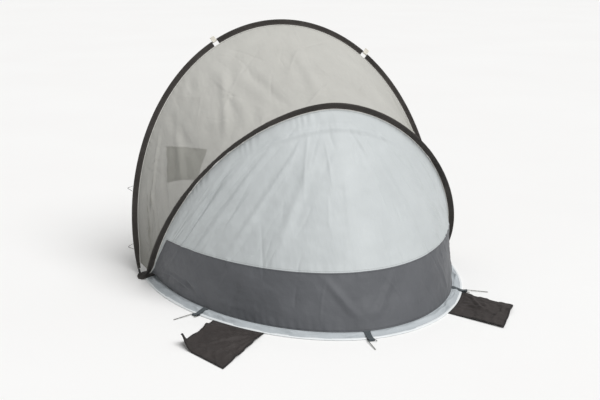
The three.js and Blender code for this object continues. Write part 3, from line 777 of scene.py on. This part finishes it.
def wall_relief(u, v):
    x, y = (u - 0.5) * WALL_SPAN[0], v * WALL_SPAN[1]
    relief = 0.0008 * ripples(x, y, 0.2, seed=11, stretch=0.7)
    relief += 0.0003 * ripples(x, y, 0.06, seed=12)
    relief += folds(x, y, WALL_FOLDS, WALL_SPAN, corner=(-WALL_SPAN[0] / 2, 0))
    relief += creases(x, y, wall_crease_lines(), seed=17, height=(0.0012, 0.0034))
    relief += RIDGE.height * np.exp(-np.abs(x) / RIDGE.reach) * smooth(v, 0.05, 0.5)
    relief *= edge_fade(v, 0.1) * edge_fade(u, 0.04)
    relief += puckers(x, y, seed=13) + puckers(x, WALL_SPAN[1] - y, seed=14)
    seam = np.abs(v - band_top(u)) * WALL_SPAN[1]
    relief += puckers(x, seam, seed=15, height=0.0008, reach=0.02)
    return relief * edge_fade(u, 0.02)


def wall_panel(name, u, v, material, slot, node):
    points = wall_surface(u, v)
    cloth = grid_object(name, pushed(points, wall_relief(u, v)), material)
    place_between(cloth, slot, node, *WALL_TURN)
    return cloth, points


def make_wall():
    u, v = share_grid(150, 600)
    upper_share = v * band_top(u)
    cloth, points = wall_panel("rear_wall_upper", u, upper_share, "silver", "silver_cloth", "rear_wall_panel")
    height = float(path_lengths(points, 0)[-1].max())
    around = REAR_HOOP.length * (1 - 2 * CLOTH_START)
    grid_area(points)
    u, v = share_grid(64, 600)
    lower_share = mix(band_top(u), 1.0, v)
    cloth, points = wall_panel("rear_wall_lower", u, lower_share, "band", "band_cloth", "rear_wall_band")
    around = float(path_lengths(points, 1)[:, -1].max())
    height = float(path_lengths(points, 0)[-1].max())
    area = grid_area(points)


SEAM_TAPE_HALF_SHARE = 0.0064
SEAM_TAPE_DEPTH = 0.0022  # behind the wall's face


def make_seam_tape():
    u, v = share_grid(90, 7, 0.5 - SEAM_TAPE_HALF_SHARE, 0.5 + SEAM_TAPE_HALF_SHARE)
    v = mix(0.02, 0.97, v)
    points = wall_surface(u, v)
    tape = grid_object("rear_seam_tape_strip", pushed(points, wall_relief(u, v) - SEAM_TAPE_DEPTH), "tape")
    place_between(tape, "seam_tape", "rear_seam_tape", *WALL_TURN)


make_roof()
make_wall()
make_seam_tape()


# ---- Hoop sleeves ----
SLEEVE_SIDES = 30
SLEEVE_STEP = 0.006  # metres between the rings of its mesh


def sleeve_grid(hoop, start, end, rows, seed):
    """Cloth folded round the wire, flattening to a thin sewn edge, with soft gathers."""
    share = np.linspace(start, end, rows)[:, None]
    angle = np.linspace(0, math.tau, SLEEVE_SIDES, endpoint=False)[None, :]
    place, inward, across = fin_frame(hoop, share)
    reach = sleeve_reach(share)
    along = share * hoop.length
    ends = smooth(np.minimum(share - start, end - share) * hoop.length, -0.004, 0.01)
    reach_in = mix(-SLEEVE.outer, reach * mix(0.9, 1.0, ends), (1 - np.cos(angle)) / 2)
    full = SLEEVE.half * mix(0.8, 1.0, ends)
    taper = mix(full, SLEEVE.edge_half * 0.7, np.clip(reach_in / (reach - 0.006), 0, 1) ** 0.8)
    front = full * np.sqrt(np.clip(1 - (np.minimum(reach_in, 0) / SLEEVE.outer) ** 2, 0, 1))
    back = np.sqrt(np.clip(reach - reach_in, 0, 1) * 2 * SLEEVE.edge_half)
    gather = ripples(along, reach_in, 0.055, seed, stretch=1.2)
    gather += 0.6 * ripples(along, reach_in, 0.02, seed + 9)
    belly = np.minimum(np.minimum(taper, front), back) * (1 + 0.16 * gather)
    lean = 0.0006 * ripples(along, reach_in * 0, 0.09, seed + 17) * np.clip(reach_in / reach, 0, 1)
    out = np.sign(np.sin(angle)) * belly + lean
    points = place + inward * reach_in[..., None] + across * out[..., None]
    around = np.append(reach_in, reach_in[:, :1], 1)
    coordinates = np.stack(np.broadcast_arrays(along, around), -1)
    return points, coordinates, reach - reach_in


def make_sleeve(which, part, hoop, start, end, seed):
    length = (end - start) * hoop.length
    points, coordinates, edge = sleeve_grid(hoop, start, end, int(length / SLEEVE_STEP), seed)
    piece = grid_object(f"{which}_sleeve{part}", points, "sleeve", coordinates, closed=True, edge=edge)
    body = f"{which}_arch"
    place_on(piece, body, f"{body}_sleeve{part}")


def make_sleeves():
    first, last = SLEEVE_START, 1 - SLEEVE_START
    near, far = TAB_PLACES
    make_sleeve("rear", "", REAR_HOOP, first, last, 21)
    make_sleeve("front", "_left", FRONT_HOOP, first, near - TAB_GAP, 22)
    make_sleeve("front", "_centre", FRONT_HOOP, near + TAB_GAP, far - TAB_GAP, 23)
    make_sleeve("front", "_right", FRONT_HOOP, far + TAB_GAP, last, 24)


PIPING = Sizes(radius=0.0015, beyond=0.0002, rise=0.0026)


def make_piping():
    """A light cord of cloth is sewn into the seam beside each sleeve."""
    for name, hoop in (("rear", REAR_HOOP), ("front", FRONT_HOOP)):
        share = np.linspace(CLOTH_START, 1 - CLOTH_START, 420)
        centres = sleeve_edge(hoop, share, 1, PIPING.beyond, PIPING.rise)
        piping = tube(f"{name}_piping", centres, PIPING.radius, "piping")
        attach(piping, f"{name}_arch")


make_sleeves()
make_piping()


# ---- Floor, rims and corner patches ----
def floor_outline(offset, count):
    rear, front = FloorLine(1, offset), FloorLine(-1, offset)
    share = np.linspace(0, 1, count // 2, endpoint=False)
    return np.concatenate([rear.at(share), front.at(1 - share)])


GROUND_RINGS = (0.3, 0.52)  # radii of two faint ring creases


def make_groundsheet():
    count, rings = 240, 60
    outline = floor_outline(RIM.width, count)
    outline = np.concatenate([outline, outline[:1]])
    reach = np.linspace(1, 0.004, rings)[:, None, None]
    flat = outline[None] * reach
    x, y = flat[..., 0], flat[..., 1]
    relief = np.abs(ripples(x, y, 0.3, seed=31)) * 0.0018 + np.abs(ripples(x, y, 0.08, seed=32)) * 0.0008
    for radius in GROUND_RINGS:
        ring = np.hypot(x, y - 0.3) - radius
        relief += 0.002 * np.exp(-((ring / 0.012) ** 2))
    relief *= smooth(1 - reach[..., 0], 0.12, 0.2)
    points = lifted(flat, 0.0015 + relief)
    sheet = grid_object("groundsheet_cloth", points, "floor", coordinates=flat)
    solidify(sheet, 0.0012, offset=1)
    place_on(sheet, "floor", "groundsheet")


RIM_FOLDS = 46  # short lens-shaped folds round the rear rim


def rim_relief(along, across, length, seed):
    relief = 0.0016 * ripples(along, across * 2, 0.07, seed, stretch=1.6)
    random = np.random.default_rng(seed)
    for _ in range(RIM_FOLDS):
        start = random.uniform(0, length)
        run = random.uniform(0.05, 0.15)
        slant = random.uniform(-0.016, 0.016)
        middle = random.uniform(0.014, 0.032)
        height = random.uniform(0.0016, 0.0036)
        ends = ((start, middle - slant), (start + run, middle + slant))
        relief += fold(along, across, *ends, random.uniform(0.005, 0.009), height)
    return relief * smooth(across, 0, 0.012) * smooth(RIM.width - across, -0.004, 0.012)


def make_rim(name, line, start_y, node, seed):
    """The puffed skirt between the wall's foot and the floor's edge, rolled under at its outer edge."""
    first = line.share_at_y(start_y)
    share = np.linspace(first, 1 - first, 620)[None, :]
    across = np.linspace(0.0005, RIM.width, 22)
    crown = np.sin(math.pi * (across / RIM.width) ** 0.8) * 0.0035
    height = mix(RIM.seam_height, RIM.edge_height, across / RIM.width) + crown
    roll = np.linspace(0.3, math.pi, 5)
    roll_out = RIM.width + 0.0018 * np.sin(roll)
    roll_height = RIM.edge_height - 0.0016 * (1 - np.cos(roll)) / 2
    out = np.append(across, roll_out)[:, None]
    up = np.append(height, roll_height)[:, None]
    along = share * line.length
    relief = rim_relief(along, np.minimum(out, RIM.width), line.length, seed)
    flat = line.at(share) + line.outward(share) * (out + relief * 0.25)[..., None]
    points = lifted(flat, up + relief)
    if line is FRONT_LINE:
        points = points[:, ::-1]
    cloth = grid_object(name, points, "rim")
    place_on(cloth, "floor", node)
    around, wide = ring_size(points)


BINDING_SECTION = [  # outward from the rim's edge, and up
    (-0.0085, 0.0066), (-0.004, 0.0056), (0.0004, 0.0046), (0.0022, 0.0034),
    (0.0026, 0.002), (0.0014, 0.0007), (-0.006, 0.0004),
]


def make_binding():
    """A folded tape closes the edge of the rim and the groundsheet all the way round."""
    outline = floor_outline(RIM.width, 900)
    tangent = unit(np.roll(outline, -1, 0) - np.roll(outline, 1, 0))
    outward = np.stack([tangent[:, 1], -tangent[:, 0]], 1)
    rows = [lifted(outline + outward * out, np.full(len(outline), up)) for out, up in BINDING_SECTION]
    points = np.stack(rows)
    points = np.concatenate([points, points[:, :1]], 1)[:, ::-1]
    binding = grid_object("floor_binding", points, "binding")
    solidify(binding, 0.0006)
    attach(binding, "floor")
    around, wide = ring_size(points)


def corner_x(y):
    depth = np.where(y > 0, FLOOR.rear, FLOOR.front)
    return FLOOR.half_width * (1 - np.abs(y / depth) ** FLOOR.power) ** (1 / FLOOR.power)


def make_corner_patches():
    y, t = share_grid(30, 48, CORNER.front_end, CORNER.rear_end)
    outer = RIM.width + CORNER.flange
    middle = (y - CORNER.front_end) / (CORNER.rear_end - CORNER.front_end)
    round_end = 0.012 * (1 - edge_fade(middle, 0.18))
    out = mix(-0.006, outer - round_end, t)
    on_rim = mix(RIM.seam_height, RIM.edge_height, np.clip(out / RIM.width, 0, 1)) + 0.0022
    on_ground = mix(on_rim, 0.0014, smooth(out, RIM.width - 0.004, outer - 0.006))
    relief = 0.0009 * ripples(out, y, 0.035, seed=41) * edge_fade(middle, 0.2) * edge_fade(t, 0.2)
    for side, sign in SIDES.items():
        points = np.stack([sign * (corner_x(y) + out), y, on_ground + relief + 0.0006], -1)
        patch = grid_object(f"corner_patch_{side}_cloth", points[:, ::sign], "sleeve")
        solidify(patch, 0.001)
        place_on(patch, "floor", f"corner_patch_{side}")


make_groundsheet()
make_rim("rear_rim_cloth", REAR_LINE, CORNER.rear_end + GAP, "rear_rim", 33)
make_rim("front_rim_cloth", FRONT_LINE, CORNER.front_end - GAP, "front_rim", 34)
make_binding()
make_corner_patches()


# ---- Peg straps ----
def station(angle):
    share = REAR_LINE.share_at_angle(angle)
    outward = REAR_LINE.outward(share)
    return REAR_LINE.at(share), outward, np.array([-outward[1], outward[0]])


STRAP_OVER = [
    (0.0012, 0.0208), (0.012, 0.0196), (0.026, 0.0154), (0.038, 0.0104), (0.048, 0.0078), (0.056, 0.0078)
]
STRAP_BACK = [(0.058, 0.0016), (0.05, 0.0036), (0.046, 0.0052)]


def strap_path():
    """Side view of the strap, outward and up: over the rim, round the peg's hook and back to be sewn."""
    middle = STRAP.eye_radius + 0.001
    turn = np.linspace(math.radians(125), math.radians(-100), 22)
    eye = STRAP.eye_radius * np.stack([np.cos(turn), np.sin(turn)], 1) + (STRAP.reach, middle)
    return np.concatenate([STRAP_OVER, eye, STRAP_BACK])


def smooth_path(path, count):
    """The same path with rounded corners and even spacing."""
    for _ in range(2):
        near = path[:-1] * 0.75 + path[1:] * 0.25
        far = path[:-1] * 0.25 + path[1:] * 0.75
        corners = np.stack([near, far], 1).reshape(-1, path.shape[1])
        path = np.concatenate([path[:1], corners, path[-1:]])
    lengths = path_lengths(path, 0)
    wanted = np.linspace(0, lengths[-1], count)
    return np.stack([np.interp(wanted, lengths, path[:, k]) for k in range(path.shape[1])], 1)


def make_straps():
    angles = {"left": STRAP_ANGLE, "centre": math.pi / 2, "right": math.pi - STRAP_ANGLE}
    path = smooth_path(strap_path(), 90)
    run = path_lengths(path, 0)
    for seed, (name, angle) in enumerate(angles.items(), 51):
        at, outward, along = station(angle)
        flare = 1 + 0.22 * (1 - smooth(run, 0.004, 0.022))
        width = STRAP.width / 2 * flare
        across = np.linspace(-1, 1, 13)[:, None] * width
        curl = 0.0006 * ripples(run[None, :], across, 0.05, seed)
        flat = at + outward * path[:, :1] + along * across[..., None]
        points = lifted(flat, path[:, 1] + curl)
        strap = grid_object(f"peg_strap_{name}_webbing", points, "webbing")
        solidify(strap, 0.0013)
        place_on(strap, "floor", f"peg_strap_{name}")


make_straps()


# ---- Sand pockets ----
POCKETS = {  # offset from the peg strap, width at the rim, lengths of the front and rear edges, swing
    # rearward, how far the tip curls up, and folds across (first) and out from the rim (second)
    "left": Sizes(
        offset=0.098, width=0.266, lengths=(0.324, 0.408), swing=0.26, tip=0.035,
        folds=[
            (0.98, 0.03, 0.3, 0.75, 0.012, 0.008),
            (0.97, 0.05, 0.62, 0.95, 0.011, 0.008),
            (0.95, 0.02, 0.1, 0.4, 0.01, 0.006),
            (0.99, 0.08, 0.85, 0.9, 0.009, 0.006),
            (0.1, 0.9, 0.6, 0.6, 0.014, 0.005),
        ],
    ),
    "right": Sizes(
        offset=0.02, width=0.292, lengths=(0.268, 0.275), swing=0.39, tip=0.0,
        folds=[
            (0.02, 0.1, 0.7, 0.6, 0.014, 0.006),
            (0.1, 0.9, 0.9, 0.75, 0.012, 0.005),
            (0.5, 0.05, 0.6, 0.9, 0.016, 0.005),
        ],
    ),
}


def pocket_edges(sizes):
    """The root along the rim and the far edge, both from front to rear, and the way out."""
    edge = FloorLine(1, RIM.width + POCKET_CLEARANCE)
    start = edge.share_at_angle(STRAP_ANGLE) + sizes.offset / edge.length
    root = edge.at(np.linspace(start, start + sizes.width / edge.length, 90))
    chord = unit(root[-1] - root[0])
    outward = np.array([chord[1], -chord[0]])
    reach = outward * math.cos(sizes.swing) + chord * math.sin(sizes.swing)
    front, rear = sizes.lengths
    far = mix(root[0] + reach * front, root[-1] + reach * rear, np.linspace(0, 1, 90)[:, None])
    return root, far, reach


def make_pocket(side, sizes, seed):
    wide, long = sizes.width, sum(sizes.lengths) / 2
    root, far, reach = pocket_edges(sizes)
    a, b = share_grid(110, len(root))
    flat = mix(root[None], far[None], b[..., None])
    x, y = a * wide, b * long
    wave = 0.003 * ripples(x, y, 0.12, seed) + 0.0012 * ripples(x, y, 0.045, seed + 1)
    wave += folds(x, y, sizes.folds, (wide, long))
    border = 0.002 * ripples(x, y, 0.09, seed + 2) * (smooth(b, 0.8, 1) + smooth(np.abs(a - 0.5), 0.4, 0.5))
    fill = 0.004 * np.sin(math.pi * a) ** 0.5 * np.sin(math.pi * b) ** 0.5
    height = 0.0022 + fill + np.maximum(wave + border + 0.0025, 0) * smooth(b, 0, 0.12)
    curl = sizes.tip * smooth(b + (1 - a) - 1.72, 0, 0.28) ** 1.5
    flat = flat - reach * (curl * 0.5)[..., None]
    points = lifted(flat * (SIDES[side], 1), height + curl)
    bag = grid_object(f"sand_pocket_{side}_cloth", points[:, :: SIDES[side]], "pocket")
    solidify(bag, 0.0022)
    place_on(bag, f"pocket_{side}", f"sand_pocket_{side}")


make_pocket("left", POCKETS["left"], 61)
make_pocket("right", POCKETS["right"], 66)


# ---- Tabs, loops and pouch ----
TAB = Sizes(width=0.022, radius=0.0044, tail=0.024, thickness=0.0012)
LOOP = Sizes(half_base=0.013, reach=0.0245, width=0.0034, lift=SLEEVE.outer + 3 * GAP)


def on_hoop(hoop, share, along, side, outward):
    """Points given along the hoop, sideways and outward, at one place on it."""
    place, tangent, out, across = hoop.frame(share)
    return place + tangent * along[..., None] + across * side[..., None] + out * outward[..., None]


def make_tabs():
    """White tape wrapped round the bare wire in each gap of the sleeve."""
    turn = np.linspace(math.radians(110), math.radians(430), 40)
    loop = np.stack([TAB.radius * np.cos(turn), TAB.radius * np.sin(turn)], 1)
    up = np.array([(-0.0009, TAB.tail), (-0.001, TAB.tail * 0.5)])
    down = up[::-1] * (-1, 1)
    path = smooth_path(np.concatenate([up, loop, down]), 70)
    for share, side in zip(TAB_PLACES, SIDES):
        along = np.linspace(-0.5, 0.5, 11)[:, None] * TAB.width
        sag = 0.0004 * ripples(along, path[None, :, 1], 0.02, seed=71)
        points = on_hoop(FRONT_HOOP, share, along, path[None, :, 0] + sag, path[None, :, 1])
        tab = grid_object(f"guy_tab_{side}_tape", points, "tab")
        solidify(tab, TAB.thickness)
        place_on(tab, "front_arch", f"guy_tab_{side}")
        length = float(path_lengths(path, 0)[-1])


def make_storm_loops():
    """Black tape folded into a narrow triangle that stands out from the sleeve."""
    base, reach = LOOP.half_base, LOOP.reach
    half = np.array([(-base, 0), (-base * 0.55, reach * 0.45), (-0.0012, reach)])
    corners = np.concatenate([half, half[::-1] * (-1, 1)])
    path = smooth_path(corners, 60)
    for place, level in zip(LOOP_PLACES, ("lower", "upper")):
        for side, sign in SIDES.items():
            share = place if sign > 0 else 1 - place
            width = np.linspace(-0.5, 0.5, 7)[:, None] * LOOP.width
            twist = 0.25 * (path[None, :, 1] / reach)
            along = path[None, :, 0] + width * np.sin(twist)
            sideways = width * np.cos(twist) + 0.003 * twist
            points = on_hoop(FRONT_HOOP, share, along, sideways, LOOP.lift + path[None, :, 1])
            loop = grid_object(f"storm_loop_{side}_{level}_tape", points, "loop")
            solidify(loop, 0.0014)
            place_on(loop, "front_arch", f"storm_loop_{side}_{level}")


def make_pouch():
    """A net pouch hangs inside the roof: bound edges, and a slack mouth that gapes a little."""
    a, b = share_grid(64, 64)
    bottom, top = (mix(*np.array(line), a[..., None]) for line in (POUCH.bottom, POUCH.top))
    place = mix(bottom, top, b[..., None])
    points = roof_surface(place[..., 0], place[..., 1])
    gape = 0.012 * np.sin(math.pi * a) * smooth(b, 0.5, 1.0)
    sag = 0.006 * np.sin(math.pi * a) * np.sin(math.pi * b)
    drop = POUCH.drop + 0.004 + sag + gape + 0.0012 * ripples(a * 0.2, b * 0.2, 0.05, seed=81)
    points = pushed(points, drop)
    pouch = grid_object("storage_pouch_net", points, "pouch")
    solidify(pouch, 0.0008)
    place_between(pouch, "pouch_mesh", "storage_pouch", *ROOF_TURN)
    wide = float(path_lengths(points, 1)[:, -1].mean())
    high = float(path_lengths(points, 0)[-1].mean())


make_tabs()
make_storm_loops()
make_pouch()


# ---- CAD parts that show as they are ----
def finish_cad_parts():
    finishes = {"wire": "spring_steel", "peg": "peg_steel", "cap": "plastic"}
    for name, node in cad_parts.items():
        for word, material in finishes.items():
            if word in name.split("_") and not node.hide_render:
                node.material_slots[0].material = MATERIALS[material]


finish_cad_parts()


# ---- Stage ----
def floor_material():
    n = Nodes("stage_floor")
    cloud = n.noise(n.solid_place(), 0.7, detail=3.0)
    colour = n.blend(cloud, "f6f5f4", "fafaf9")
    return n.finish(n.surface(colour, 0.9))


STAGE_HALF = 40.0


def make_stage():
    mesh = bpy.data.meshes.new("stage_floor")
    corners = [(x * STAGE_HALF, y * STAGE_HALF, 0) for x, y in ((-1, -1), (1, -1), (1, 1), (-1, 1))]
    mesh.from_pydata(corners, [], [(0, 1, 2, 3)])
    floor = add_object("stage_floor", mesh)
    floor.location.z = -0.0006
    mesh.materials.append(floor_material())


SUN_FROM = Vector((-0.28, 0.45, 0.85))
SUN_ANGLE = 50  # degrees across, which makes it a large soft light
SUN_STRENGTH = 2.45
WORLD_STRENGTH = 0.36


def make_lights():
    data = bpy.data.lights.new("key", "SUN")
    data.angle = math.radians(SUN_ANGLE)
    data.energy = SUN_STRENGTH
    key = add_object("key", data)
    key.rotation_mode = "QUATERNION"
    key.rotation_quaternion = SUN_FROM.to_track_quat("Z", "Y")
    world = bpy.data.worlds.new("studio")
    world.use_nodes = True
    background = world.node_tree.nodes["Background"]
    background.inputs["Color"].default_value = (1.0, 1.0, 1.0, 1.0)
    background.inputs["Strength"].default_value = WORLD_STRENGTH
    bpy.context.scene.world = world
    bpy.context.scene.view_settings.view_transform = "Standard"


make_stage()
make_lights()
